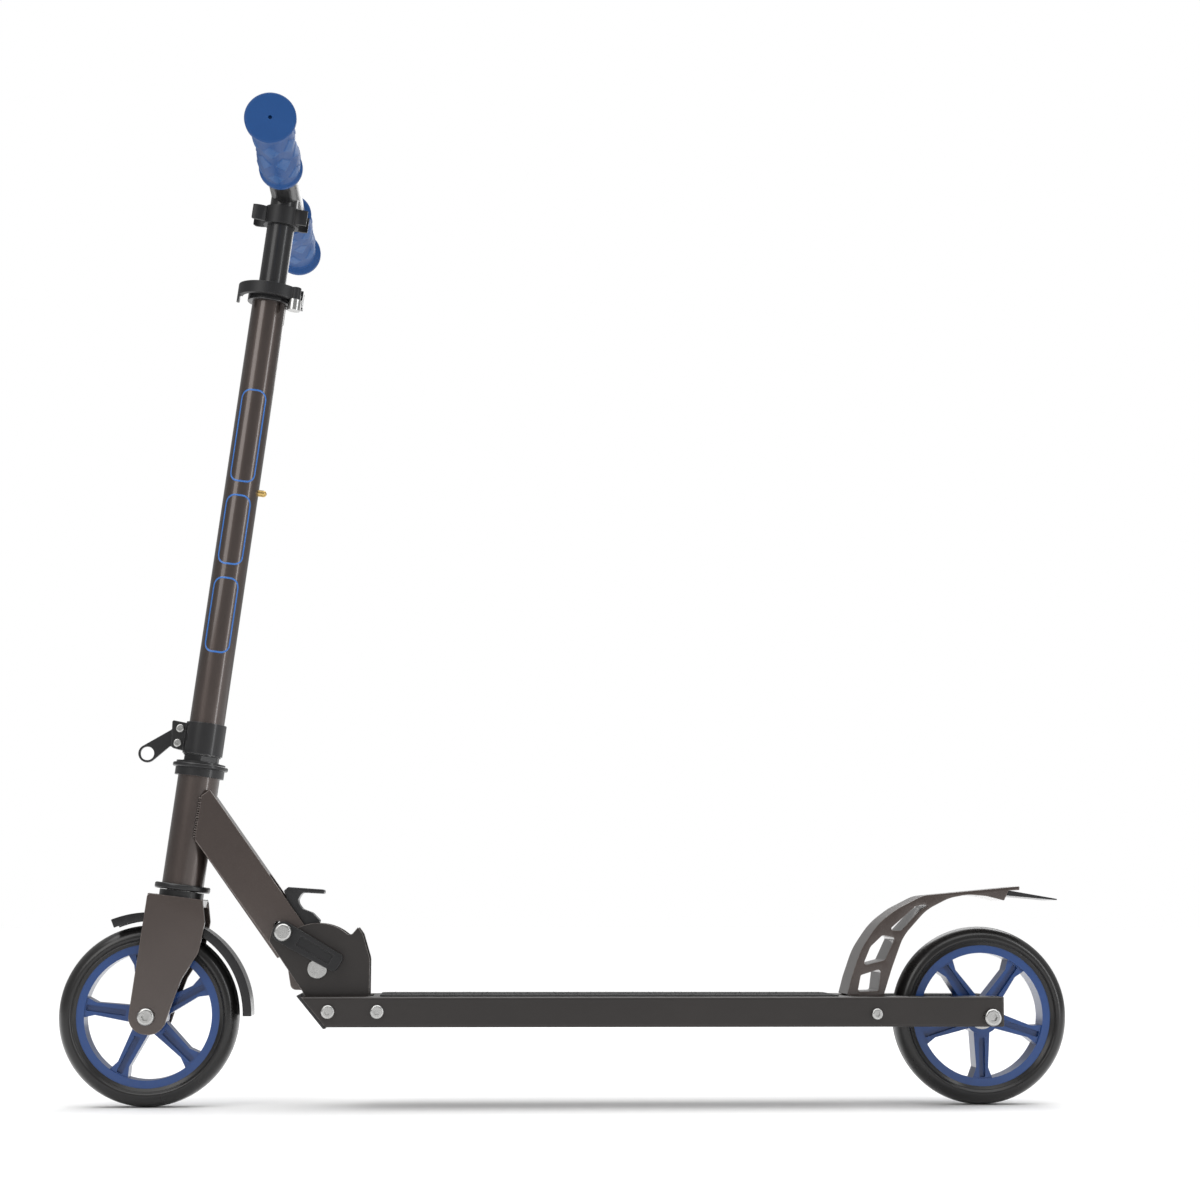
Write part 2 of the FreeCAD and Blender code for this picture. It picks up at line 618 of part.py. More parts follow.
def slot_box(start, end, half, y0, y1):
    way = end - start
    length = way.Length
    way.normalize()
    side = V(-way.z, 0, way.x) * half
    points = [start + side, end + side, end - side, start - side, start + side]
    face = Part.Face(Part.makePolygon([V(p.x, y0, p.z) for p in points]))
    return face.extrude(V(0, y1 - y0, 0))


def bar_between(start, along, length, thick, half_width):
    """A flat wall that runs from start along a direction in XZ."""
    return slot_box(start, start + along * length, thick / 2, -half_width, half_width)


def make_latch():
    """The lock bolt, its pull hook and the lever that tightens it."""
    bolt = lock_bolt_place()
    x, z = bolt.x, bolt.z
    hook = [(-5.5, -6, 4), (9, -9, 4), (14.5, -1, 3), (22, 3, 3), (29, 9, 2), (22, 16, 4), (14, 19, 3),
            (9.5, 25, 5), (13.5, 32, 4), (31.5, 31, 1.2), (31.5, 34.5, 1.2), (2, 36.5, 1.5),
            (-1.5, 33.5, 1.2), (5, 17, 3)]
    body = plate([(x + a, z + b, r) for a, b, r in hook], -11.0, 11.0)
    body = body.cut(across(x, z, lock_bolt_radius + press_gap, -12, 12))
    save("release_hook", body)
    y = bracket_inner + plate_thickness
    save("lock_bolt", across(x, z, lock_bolt_radius, -y - 15.5, y + 7))
    washer = [across_tube(x, z, 7.5, lock_bolt_radius + running_fit, *sorted((s * (y + 0.3), s * (y + 1.5))))
              for s in (-1, 1)]
    save("lock_washers", *washer)
    cap = across(x, z, 7.0, -y - 16.5, -y - 10.5)
    cap = round_edges(cap, 2.0, lambda e: abs(e.BoundBox.YMax - (-y - 16.5)) < 1e-3)
    cap = cap.cut(across(x, z, lock_bolt_radius + press_gap, -y - 15.5, -y))
    save("lock_nuts", cap, cap_nut_far(x, z, y))
    end = x + lever_length
    handle = plate([(x - 8.5, z + 8.5, 8.3), (x + 10, z + 8.5, 5), (end, z + 8, 4), (end, z - 7, 4),
                    (x + 10, z - 8.5, 5), (x - 8.5, z - 8.5, 8.3)], -y - 10.2, -y - 1.8)
    handle = handle.cut(block(x + 14, end - 8, -y - 20, -y - 8.6, z - 3.5, z + 4.5))
    handle = handle.cut(across(x, z, lock_bolt_radius + running_fit, -y - 20, 0))
    handle.rotate(bolt, V(0, 1, 0), lever_droop)
    save("lock_lever", handle)


def cap_nut_far(x, z, y):
    nut = hex_prism(x, z, 12.0, y + 1.6, y + 7.6)
    return nut.cut(across(x, z, lock_bolt_radius + press_gap, y, y + 7))


def make_stem():
    """Stem tube, its two clamps and the strap eye, all turning with the fork."""
    up = V(0, 0, 1)
    stem = tube(V(0, 0, stem_bottom), up, stem_radius, stem_bore, stem_length)
    stem = stem.cut(block(-20, 0, -1.5, 1.5, stem_bottom - 1, stem_bottom + 30))
    stem = stem.cut(block(0, 20, -1.5, 1.5, stem_top - 30, stem_top + 1))
    pin_at = stem_top - guide_pin_below_top
    stem = stem.cut(rod(V(0, 0, pin_at), V(1, 0, 0), guide_pin_radius + press_gap, 30))
    save("stem_tube", leaning(stem))
    pin = fuse(rod(V(stem_bore - 1.6, 0, pin_at), V(1, 0, 0), guide_pin_radius, stem_radius - stem_bore + 5.6),
               Part.makeSphere(guide_pin_radius, V(stem_radius + 4.0, 0, pin_at)))
    save("guide_pin", leaning(pin))
    bush = tube(V(0, 0, stem_top - 40), up, stem_bore - press_gap, bar_tube_radius + running_fit, 40)
    lip = tube(V(0, 0, stem_top), up, stem_radius, bar_tube_radius + running_fit, 1.4)
    save("height_bush", leaning(fuse(bush, lip)))

    collar_low, collar_high = stem_top - 13.0, stem_top
    collar = tube(V(0, 0, collar_low), up, 18.5, stem_radius + press_gap, collar_high - collar_low)
    ears = [block(15, 28, *sorted((s * 1.5, s * 9.0)), collar_low, collar_high) for s in (-1, 1)]
    collar = fuse(collar, *ears).cut(rod(V(0, 0, collar_low - 1), up, stem_radius + press_gap, 20))
    collar = collar.cut(block(0, 30, -1.5, 1.5, collar_low - 1, collar_high + 1))
    mid = (collar_low + collar_high) / 2
    collar = collar.cut(across(clamp_reach, mid, 2.6, -20, 20))
    save("height_clamp", leaning(collar))
    nut = across(clamp_reach, mid, 5.0, 9.0, 15.0)
    nut = round_edges(nut, 1.2, lambda e: abs(e.BoundBox.YMin - 15) < 1e-3)
    nut = nut.cut(across(clamp_reach, mid, 2.5 + press_gap, 8, 14.0))
    save("height_clamp_bolt", leaning(across(clamp_reach, mid, 2.5, -12.0, 14.0)), leaning(nut))
    barrel = rod(V(clamp_reach, -lever_side, collar_low - 7), up, 5.5, 9.5)
    pin = rod(V(clamp_reach, -lever_side, collar_low), up, 2.5, 13.4)
    yoke = block(clamp_reach - 3, clamp_reach + 3, -lever_side, -9.1, collar_low - 6, collar_low + 2.4)
    seat = across(clamp_reach, mid, 2.5 + press_gap, -12.0, 0)
    body = fuse(barrel, pin, yoke, across_tube(clamp_reach, mid, 4.2, 2.5 + press_gap, -12.1, -9.1)).cut(seat)
    save("cam_barrel", leaning(body))

    lever_low, lever_high = collar_low + 2.8, collar_high
    hub = rod(V(clamp_reach, -lever_side, lever_low), up, 4.1, lever_high - lever_low)
    ring = tube(V(0, 0, lever_low), up, 27.5, 22.8, lever_high - lever_low)
    sector = [(0, 0), (34, -25.5), (34, -60), (-60, -60), (-60, -8), (0, 0)]
    keep = Part.Face(Part.makePolygon([V(a, b, lever_low - 1) for a, b in sector]))
    ring = ring.common(keep.extrude(V(0, 0, 30)))
    tip = ring.common(block(-30, -24.5, -30, 0, lever_low - 1, lever_high + 1))
    tip.translate(V(0, 0, -6.0))
    lever = fuse(ring, hub, tip).cut(rod(V(clamp_reach, -lever_side, 0), up, 2.5 + running_fit, stem_top + 100))
    save("height_lever", leaning(max(lever.Solids, key=lambda s: s.Volume)))

    band_top = stem_bottom + strap_height
    strap = tube(V(0, 0, stem_bottom), up, stem_radius + 2.1, stem_radius + press_gap, strap_height)
    tab = [(-14, stem_bottom + 1.5, 0), (-25.5, stem_bottom + 3.0, 2), (-28.0, band_top - 0.5, 1.5),
           (-14, band_top - 1.5, 0)]
    tabs = [plate(tab, *sorted((s * 1.55, s * 4.0))) for s in (-1, 1)]
    strap = fuse(strap, *tabs).cut(rod(V(0, 0, stem_bottom - 1), up, stem_radius + press_gap, 40))
    strap = strap.cut(block(-30, -10, -1.5, 1.5, stem_bottom - 1, band_top + 1))
    places = [(-20.9, stem_bottom + 7.2), (-20.5, stem_bottom + 19.4)]
    for x, s in places:
        strap = strap.cut(across(x, s, 2.1, -10, 10))
    save("stem_clamp", leaning(strap))
    eye = V(-eye_reach, 0, stem_bottom - eye_drop)
    arm = [(-17, stem_bottom + 3.2, 0), (-27, stem_bottom + 4.0, 1), (eye.x + 4.5, eye.z - 6.2, 3),
           (eye.x - 5.6, eye.z + 5.0, 3), (-27.5, stem_bottom + 18.0, 2), (-27.5, band_top - 2.5, 1),
           (-17, band_top - 3.5, 0)]
    eye_plate = fuse(plate(arm, -1.5, 1.5), across(eye.x, eye.z, 7.4, -1.5, 1.5))
    eye_plate = eye_plate.cut(across(eye.x, eye.z, eye_hole, -3, 3))
    for x, s in places:
        eye_plate = eye_plate.cut(across(x, s, 2.1, -10, 10))
    save("strap_eye", leaning(eye_plate))
    bolts = [leaning(cap_bolt(x, s, 2.0, -4.0, 11.0, 3.4, 2.4)) for x, s in places]
    nuts = [leaning(hex_prism(x, s, 6.6, 4.0, 7.0).cut(across(x, s, 2.0 + press_gap, 3, 8))) for x, s in places]
    save("stem_clamp_bolts", *bolts, *nuts)


def make_handlebar():
    """The tube that slides in the stem, the cross tube, the clip and the two pull-out handles."""
    up = V(0, 0, 1)
    bottom = stem_top - bar_insert
    post = tube(V(0, 0, bottom), up, bar_tube_radius, bar_tube_radius - bar_tube_wall, cross_height - bottom)
    post = post.cut(across(0, cross_height, cross_radius, -30, 30))
    post = max(post.Solids, key=lambda s: s.Volume)
    pin_at = stem_top - guide_pin_below_top
    groove = guide_pin_radius + 0.4
    low, high = pin_at - height_up, pin_at + height_down
    post = post.cut(block(0, 20, -groove, groove, low, high))
    for s in (low, high):
        post = post.cut(rod(V(0, 0, s), V(1, 0, 0), groove, 20))
    save("bar_post", leaning(post))
    cross = across_tube(0, cross_height, cross_radius, cross_bore, -cross_half, cross_half)
    save("cross_tube", leaning(cross))
    clip_low = cross_height - clip_below_bar
    clip = tube(V(0, 0, clip_low), up, 15.0, bar_tube_radius + press_gap, clip_height)
    for side, reach in ((-1, 20.0), (1, 17.5)):
        jaw = tube(V(side * reach, 0, clip_low + 1), up, 12.0, 9.7, 13.0)
        jaw = jaw.cut(block(*sorted((side * (reach + 4.5), side * 60)), -30, 30, clip_low - 5, clip_low + 30))
        jaw = jaw.cut(rod(V(0, 0, clip_low - 5), up, 13.5, 40))
        wedge = plate([(side * 12, clip_low - 3, 0), (side * 60, clip_low + 16, 0),
                       (side * 60, clip_low - 3, 0)], -30, 30)
        clip = fuse(clip, jaw.cut(wedge))
    clip = clip.cut(rod(V(0, 0, clip_low - 1), up, bar_tube_radius + press_gap, 40))
    save("grip_clip", leaning(clip))
    for side, name in ((-1, "left"), (1, "right")):
        y0, y1 = sorted((side * 10.0, side * (bar_half_width - 6)))
        save("handle_tube_" + name, leaning(across_tube(0, cross_height, handle_tube_radius,
                                                        handle_tube_radius - 1.5, y0, y1)))
        save("grip_" + name, leaning(make_grip(side)))


def make_grip(side):
    """Turned grip: an end flange, a waist, a palm swell and an inner collar."""
    length = bar_half_width - grip_inner
    bore = handle_tube_radius + running_fit
    end_wall = 3.8
    profile = [(0, bore), (0, 17.2), (1.2, 18.0), (5.0, 18.0), (7.0, 16.4), (14, 16.2), (40, 17.4),
               (66, 15.6), (92, 16.9), (length - 12, 15.6), (length - 7.5, 17.6), (length - 6.5, 19.6),
               (length - 5.2, 20.2), (length - 1.0, 20.2), (length, 19.2), (length, 1.6),
               (length - end_wall, 1.6), (length - end_wall, bore)]
    points = [V(r, side * (grip_inner + y), 0) for y, r in profile]
    wire = Part.makePolygon(points + points[:1])
    grip = Part.Face(wire).revolve(V(0, 0, 0), V(0, 1, 0), 360)
    grip.translate(V(0, 0, cross_height))
    return grip if grip.Volume > 0 else grip.reversed()


def main():
    make_wheel(front_axle, front_spoke_angle, "front")
    make_wheel(rear_axle, rear_spoke_angle, "rear")
    make_side_spacers(front_axle, "front_axle_spacers")
    make_deck()
    make_front_cap()
    make_fold_bracket()
    make_deck_fasteners()
    make_rear_fender()
    make_brake_spring()
    make_fork()
    make_neck()
    make_latch()
    make_stem()
    make_handlebar()
    os.makedirs("parts", exist_ok=True)
    for name, shape in shapes.items():
        solids = shape.Solids
        print(name, len(solids), "solids", round(sum(s.Volume for s in solids)), "mm3", shape.isValid())
        shape.exportStep(f"parts/{name}.step")
    print(len(shapes), "nodes")


main()
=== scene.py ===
import json
import math
import bpy
import bmesh
from mathutils import Matrix, Vector
from mathutils.bvhtree import BVHTree


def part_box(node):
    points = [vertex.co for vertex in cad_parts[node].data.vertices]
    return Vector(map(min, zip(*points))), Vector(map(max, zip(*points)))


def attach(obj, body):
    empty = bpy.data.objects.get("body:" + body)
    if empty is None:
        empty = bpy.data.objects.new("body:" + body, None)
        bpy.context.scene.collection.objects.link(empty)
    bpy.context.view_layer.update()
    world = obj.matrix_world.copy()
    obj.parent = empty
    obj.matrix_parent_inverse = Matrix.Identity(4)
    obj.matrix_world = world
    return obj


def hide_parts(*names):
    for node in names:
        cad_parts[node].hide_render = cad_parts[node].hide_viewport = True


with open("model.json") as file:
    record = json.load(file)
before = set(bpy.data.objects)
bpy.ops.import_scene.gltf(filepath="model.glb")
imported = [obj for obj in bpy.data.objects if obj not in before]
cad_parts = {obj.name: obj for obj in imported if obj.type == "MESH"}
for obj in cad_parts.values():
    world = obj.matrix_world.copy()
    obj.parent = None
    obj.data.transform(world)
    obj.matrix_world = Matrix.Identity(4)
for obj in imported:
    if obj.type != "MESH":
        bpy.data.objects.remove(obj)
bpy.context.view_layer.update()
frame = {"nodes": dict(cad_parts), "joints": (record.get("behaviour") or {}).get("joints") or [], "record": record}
mm = 0.001
joints = {j["name"]: j for j in frame["joints"]}
frontAxle = Vector(joints["front_wheel_spin"]["pos_m"])
rearAxle = Vector(joints["rear_wheel_spin"]["pos_m"])
steerBase = Vector(joints["steer"]["pos_m"])
steerAxis = Vector(joints["steer"]["axis"]).normalized()
steerAcross = Vector((0, 1, 0))
steerAhead = steerAcross.cross(steerAxis)
# turns a point of the steering column's own frame, with Z up the column, into the scooter's frame
columnTurn = Matrix((steerAhead, steerAcross, steerAxis)).transposed().to_4x4()
columnFrame = Matrix.Translation(steerBase) @ columnTurn
print("frame loaded:", len(frame["nodes"]), "nodes")

# ---- finishes


def group(name, inputs, outputs):
    tree = bpy.data.node_groups.new(name, "ShaderNodeTree")
    for label, kind, value in inputs:
        socket = tree.interface.new_socket(name=label, in_out="INPUT", socket_type=kind)
        if value is not None:
            socket.default_value = value
    for label, kind in outputs:
        tree.interface.new_socket(name=label, in_out="OUTPUT", socket_type=kind)
    return tree, tree.nodes.new("NodeGroupInput"), tree.nodes.new("NodeGroupOutput")


def math2(tree, operation, a, b=None, clamp=False):
    node = tree.nodes.new("ShaderNodeMath")
    node.operation = operation
    node.use_clamp = clamp
    for index, value in enumerate((a, b)):
        if value is None:
            continue
        if isinstance(value, (int, float)):
            node.inputs[index].default_value = value
        else:
            tree.links.new(value, node.inputs[index])
    return node.outputs[0]


def noiseOut(tree, vector, scale, detail=3.0, rough=0.55):
    node = tree.nodes.new("ShaderNodeTexNoise")
    node.inputs["Detail"].default_value = detail
    node.inputs["Roughness"].default_value = rough
    if isinstance(scale, (int, float)):
        node.inputs["Scale"].default_value = scale
    else:
        tree.links.new(scale, node.inputs["Scale"])
    tree.links.new(vector, node.inputs["Vector"])
    return node.outputs["Fac"]


def surfaceGrainGroup():
    # fine grain and slow patches, both 0 to 1, at sizes given per metre
    tree, source, sink = group("surfaceGrain",
        [("Vector", "NodeSocketVector", None), ("Fine", "NodeSocketFloat", 2500.0),
         ("Broad", "NodeSocketFloat", 25.0)],
        [("Grain", "NodeSocketFloat"), ("Patches", "NodeSocketFloat")])
    fine = noiseOut(tree, source.outputs["Vector"], source.outputs["Fine"], 2.0)
    broad = noiseOut(tree, source.outputs["Vector"], source.outputs["Broad"], 4.0)
    tree.links.new(fine, sink.inputs["Grain"])
    tree.links.new(broad, sink.inputs["Patches"])
    return tree


def edgeWearAndHighlightGroup():
    # rubbed edges with a painted edge highlight: the mesh's edge attribute broken up by noise
    tree, source, sink = group("edgeWear",
        [("Vector", "NodeSocketVector", None), ("Edge", "NodeSocketFloat", 0.0),
         ("Amount", "NodeSocketFloat", 0.5)],
        [("Mask", "NodeSocketFloat")])
    chips = noiseOut(tree, source.outputs["Vector"], 380.0, 4.0, 0.65)
    raised = math2(tree, "MULTIPLY_ADD", chips, 2.4)
    raised.node.inputs[2].default_value = -0.7
    mask = math2(tree, "MULTIPLY", source.outputs["Edge"], raised, True)
    mask = math2(tree, "MULTIPLY", mask, source.outputs["Amount"], True)
    tree.links.new(mask, sink.inputs["Mask"])
    return tree


def dustGroup():
    # pale dust on faces that look up, broken up by noise
    tree, source, sink = group("settledDust",
        [("Vector", "NodeSocketVector", None), ("Amount", "NodeSocketFloat", 0.2)],
        [("Mask", "NodeSocketFloat")])
    geometry = tree.nodes.new("ShaderNodeNewGeometry")
    split = tree.nodes.new("ShaderNodeSeparateXYZ")
    tree.links.new(geometry.outputs["Normal"], split.inputs[0])
    upward = math2(tree, "MAXIMUM", split.outputs["Z"], 0.0)
    speck = noiseOut(tree, source.outputs["Vector"], 900.0, 5.0, 0.7)
    speck = math2(tree, "POWER", speck, 3.0)
    mask = math2(tree, "MULTIPLY", math2(tree, "MULTIPLY", upward, speck), source.outputs["Amount"], True)
    tree.links.new(mask, sink.inputs["Mask"])
    return tree


surfaceGrain = surfaceGrainGroup()
edgeWear = edgeWearAndHighlightGroup()
settledDust = dustGroup()

# base and second colour, shine, and how much grain, edge wear with painted edge highlight, and dust each finish
# shows
finishes = {
    "bronzePaint": dict(
        base=(0.060, 0.046, 0.041), second=(0.080, 0.062, 0.055), metallic=0.72, rough=0.34,
        spread=0.06, coat=0.75, coatRough=0.09, fine=3800, broad=14, bump=0.01, wear=0.35,
        worn=(0.420, 0.360, 0.330), flakes=0.35, flake=(0.340, 0.290, 0.270), dust=0.04),
    "deckPaint": dict(
        base=(0.020, 0.018, 0.017), second=(0.034, 0.029, 0.027), metallic=0.55, rough=0.4,
        spread=0.07, coat=0.35, coatRough=0.22, fine=3400, broad=9, bump=0.014, wear=0.55,
        worn=(0.360, 0.320, 0.300), flakes=0.2, flake=(0.120, 0.100, 0.100), dust=0.05),
    "blackMetal": dict(
        specular=0.32, base=(0.012, 0.012, 0.013), second=(0.020, 0.020, 0.021), metallic=0.15,
        rough=0.36, spread=0.08, coat=0.4, coatRough=0.16, fine=3000, broad=30, bump=0.016,
        wear=0.45, worn=(0.200, 0.200, 0.210), flakes=0.0, flake=(0.100, 0.100, 0.100), dust=0.05),
    "blackPlastic": dict(
        specular=0.32, base=(0.013, 0.013, 0.014), second=(0.021, 0.021, 0.022), metallic=0.0,
        rough=0.42, spread=0.1, coat=0.0, coatRough=0.2, fine=2200, broad=40, bump=0.03, wear=0.25,
        worn=(0.090, 0.090, 0.090), flakes=0.0, flake=(0.100, 0.100, 0.100), dust=0.06),
    "glossFender": dict(
        specular=0.32, base=(0.009, 0.009, 0.010), second=(0.014, 0.014, 0.015), metallic=0.0,
        rough=0.24, spread=0.06, coat=0.25, coatRough=0.1, fine=1800, broad=30, bump=0.012,
        wear=0.15, worn=(0.080, 0.080, 0.080), flakes=0.0, flake=(0.100, 0.100, 0.100), dust=0.05),
    "zincSteel": dict(
        base=(0.560, 0.560, 0.550), second=(0.440, 0.440, 0.430), metallic=1.0, rough=0.27,
        spread=0.1, coat=0.0, coatRough=0.1, fine=2600, broad=120, bump=0.018, wear=0.3,
        worn=(0.750, 0.750, 0.740), flakes=0.0, flake=(0.700, 0.700, 0.700), dust=0.02),
    "chromeTube": dict(
        base=(0.720, 0.710, 0.690), second=(0.620, 0.610, 0.590), metallic=1.0, rough=0.13,
        spread=0.05, coat=0.0, coatRough=0.1, fine=2000, broad=60, bump=0.006, wear=0.0,
        worn=(0.800, 0.800, 0.800), flakes=0.0, flake=(0.700, 0.700, 0.700), dust=0.02),
    "brassPin": dict(
        base=(0.620, 0.440, 0.170), second=(0.500, 0.340, 0.120), metallic=1.0, rough=0.3,
        spread=0.1, coat=0.0, coatRough=0.1, fine=2600, broad=150, bump=0.02, wear=0.0,
        worn=(0.800, 0.600, 0.300), flakes=0.0, flake=(0.700, 0.700, 0.700), dust=0.0),
    "blueRim": dict(
        base=(0.004, 0.040, 0.170), second=(0.006, 0.049, 0.198), metallic=0.0, rough=0.33,
        spread=0.08, coat=0.35, coatRough=0.14, fine=1600, broad=22, bump=0.018, wear=0.12,
        worn=(0.100, 0.220, 0.520), flakes=0.0, flake=(0.200, 0.300, 0.600), dust=0.03),
    "tyreRubber": dict(
        specular=0.32, base=(0.009, 0.009, 0.009), second=(0.015, 0.014, 0.014), metallic=0.0,
        rough=0.29, spread=0.1, coat=0.3, coatRough=0.17, fine=1700, broad=26, bump=0.02, wear=0.1,
        worn=(0.050, 0.050, 0.050), flakes=0.0, flake=(0.100, 0.100, 0.100), dust=0.07),
    "gritSheet": dict(
        specular=0.32, base=(0.011, 0.011, 0.011), second=(0.020, 0.020, 0.020), metallic=0.0,
        rough=0.82, spread=0.12, coat=0.0, coatRough=0.3, fine=1500, broad=60, bump=0.35, wear=0.0,
        worn=(0.100, 0.100, 0.100), flakes=0.25, flake=(0.090, 0.090, 0.090), dust=0.15),
    "blueGraphic": dict(
        base=(0.010, 0.120, 0.440), second=(0.013, 0.145, 0.500), metallic=0.0, rough=0.36,
        spread=0.06, coat=0.45, coatRough=0.12, fine=2400, broad=60, bump=0.006, wear=0.0,
        worn=(0.200, 0.400, 0.700), flakes=0.0, flake=(0.200, 0.300, 0.600), dust=0.02),
    "blueGrip": dict(
        specular=0.3, base=(0.006, 0.053, 0.190), second=(0.008, 0.062, 0.215), metallic=0.0,
        rough=0.52, spread=0.08, coat=0.0, coatRough=0.3, fine=1300, broad=26, bump=0.06, wear=0.0,
        worn=(0.200, 0.300, 0.500), flakes=0.0, flake=(0.200, 0.300, 0.500), dust=0.06),
}


def mixColour(tree, factor, a, b):
    node = tree.nodes.new("ShaderNodeMix")
    node.data_type = "RGBA"
    for socket, value in ((node.inputs[0], factor), (node.inputs[6], a), (node.inputs[7], b)):
        if isinstance(value, (int, float)):
            socket.default_value = value
        elif isinstance(value, tuple):
            socket.default_value = (*value, 1.0)
        else:
            tree.links.new(value, socket)
    return node.outputs[2]


def useGroup(tree, nodeTree, **inputs):
    node = tree.nodes.new("ShaderNodeGroup")
    node.node_tree = nodeTree
    for label, value in inputs.items():
        if isinstance(value, (int, float)):
            node.inputs[label].default_value = value
        else:
            tree.links.new(value, node.inputs[label])
    return node


def makeFinish(name, panelHighlightColour=None):
    look = finishes[name]
    material = bpy.data.materials.new(name)
    material.use_nodes = True
    tree = material.node_tree
    shader = tree.nodes["Principled BSDF"]
    place = tree.nodes.new("ShaderNodeTexCoord").outputs["Object"]
    grain = useGroup(tree, surfaceGrain, Vector=place, Fine=look["fine"], Broad=look["broad"])
    edge = tree.nodes.new("ShaderNodeAttribute")
    edge.attribute_name = "edge"
    worn = useGroup(tree, edgeWear, Vector=place, Edge=edge.outputs["Fac"], Amount=look["wear"])
    dust = useGroup(tree, settledDust, Vector=place, Amount=look["dust"])
    colour = mixColour(tree, grain.outputs["Patches"], look["base"], look["second"])
    if look["flakes"]:
        spark = math2(tree, "MULTIPLY_ADD", grain.outputs["Grain"], 5.0, True)
        spark.node.inputs[2].default_value = -2.9
        colour = mixColour(tree, math2(tree, "MULTIPLY", spark, look["flakes"]), colour, look["flake"])
    # raised grip panels get a lighter colour: a painted highlight on their facets
    if panelHighlightColour:
        panel = tree.nodes.new("ShaderNodeAttribute")
        panel.attribute_name = "panel"
        colour = mixColour(tree, panel.outputs["Fac"], colour, panelHighlightColour)
    # eased edges turn lighter: rubbed paint and a painted edge highlight
    colour = mixColour(tree, worn.outputs["Mask"], colour, look["worn"])
    colour = mixColour(tree, dust.outputs["Mask"], colour, (0.45, 0.44, 0.42))
    tree.links.new(colour, shader.inputs["Base Color"])
    rough = math2(tree, "MULTIPLY_ADD", grain.outputs["Patches"], 2 * look["spread"])
    rough.node.inputs[2].default_value = look["rough"] - look["spread"]
    rough = math2(tree, "ADD", rough, math2(tree, "MULTIPLY", dust.outputs["Mask"], 0.5), True)
    tree.links.new(rough, shader.inputs["Roughness"])
    shader.inputs["Metallic"].default_value = look["metallic"]
    shader.inputs["Specular IOR Level"].default_value = look.get("specular", 0.5)
    shader.inputs["Coat Weight"].default_value = look["coat"]
    shader.inputs["Coat Roughness"].default_value = look["coatRough"]
    bump = tree.nodes.new("ShaderNodeBump")
    bump.inputs["Strength"].default_value = 0.6
    bump.inputs["Distance"].default_value = look["bump"] * mm
    swell = math2(tree, "MULTIPLY", grain.outputs["Patches"], 2.0)
    height = math2(tree, "ADD", grain.outputs["Grain"], swell)
    tree.links.new(height, bump.inputs["Height"])
    tree.links.new(bump.outputs["Normal"], shader.inputs["Normal"])
    return material


# lighter blue painted on the raised grip panels as a highlight
gripPanelHighlightColour = (0.018, 0.090, 0.265)
materials = {name: makeFinish(name, gripPanelHighlightColour if name == "blueGrip" else None) for name in finishes}
print("finishes made:", len(materials))

# ---- shared mesh work


def finishMesh(mesh, sharpAngle=38.0):
    # smooth shading that stays crisp at real edges
    work = bmesh.new()
    work.from_mesh(mesh)
    limit = math.radians(sharpAngle)
    for face in work.faces:
        face.smooth = True
    for line in work.edges:
        line.smooth = line.calc_face_angle(0.0) < limit
    work.to_mesh(mesh)
    work.free()


def addPiece(name, mesh, finish, body, stoodFor=()):
    piece = bpy.data.objects.new(name, mesh)
    bpy.context.scene.collection.objects.link(piece)
    mesh.materials.clear()
    mesh.materials.append(materials[finish])
    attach(piece, body)
    if stoodFor:
        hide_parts(*stoodFor)
    return piece


def meshFrom(work, name):
    mesh = bpy.data.meshes.new(name)
    work.to_mesh(mesh)
    work.free()
    return mesh


easing = {"mergeWithin": 0.002, "flatWithin": 0.6, "hardOver": 32, "segments": 2, "strayOver": 0.6,
          "sliver": 0.001}  # lengths in millimetres, angles in degrees, strayOver in edge radii


def easedMesh(node, width):
    # a copy of a CAD node's mesh, merged, its hard edges eased and marked for the edge wear and painted edge
    # highlight
    work = bmesh.new()
    work.from_mesh(frame["nodes"][node].data)
    bmesh.ops.remove_doubles(work, verts=work.verts, dist=easing["mergeWithin"] * mm)
    bmesh.ops.dissolve_limit(work, angle_limit=math.radians(easing["flatWithin"]), verts=work.verts,
                             edges=work.edges, use_dissolve_boundaries=False)
    sharpest = math.radians(easing["hardOver"])
    hard = [line for line in work.edges if line.is_manifold and line.calc_face_angle(0) > sharpest]
    surface = BVHTree.FromBMesh(work)
    layer = work.faces.layers.float.new("edge")
    rounded = bmesh.ops.bevel(work, geom=hard, offset=width * mm, offset_type="OFFSET",
                              segments=easing["segments"], profile=0.5, affect="EDGES", clamp_overlap=False)
    for face in rounded["faces"]:
        face[layer] = 1.0
    for corner in work.verts:  # a corner that shot out past the edge's radius goes back to the surface
        spot, facing, index, gap = surface.find_nearest(corner.co)
        if gap > easing["strayOver"] * width * mm:
            corner.co = spot
    bmesh.ops.triangulate(work, faces=work.faces)
    bmesh.ops.dissolve_degenerate(work, dist=easing["sliver"] * mm, edges=work.edges)
    return meshFrom(work, node + "Eased")


def evenlyLit(mesh):
    # weighs the shading by face area, so that broad flat faces read as flat
    holder = bpy.data.objects.new("holder", mesh)
    bpy.context.scene.collection.objects.link(holder)
    modifier = holder.modifiers.new("weights", "WEIGHTED_NORMAL")
    modifier.keep_sharp = True
    graph = bpy.context.evaluated_depsgraph_get()
    made = bpy.data.meshes.new_from_object(holder.evaluated_get(graph))
    bpy.data.objects.remove(holder)
    return made
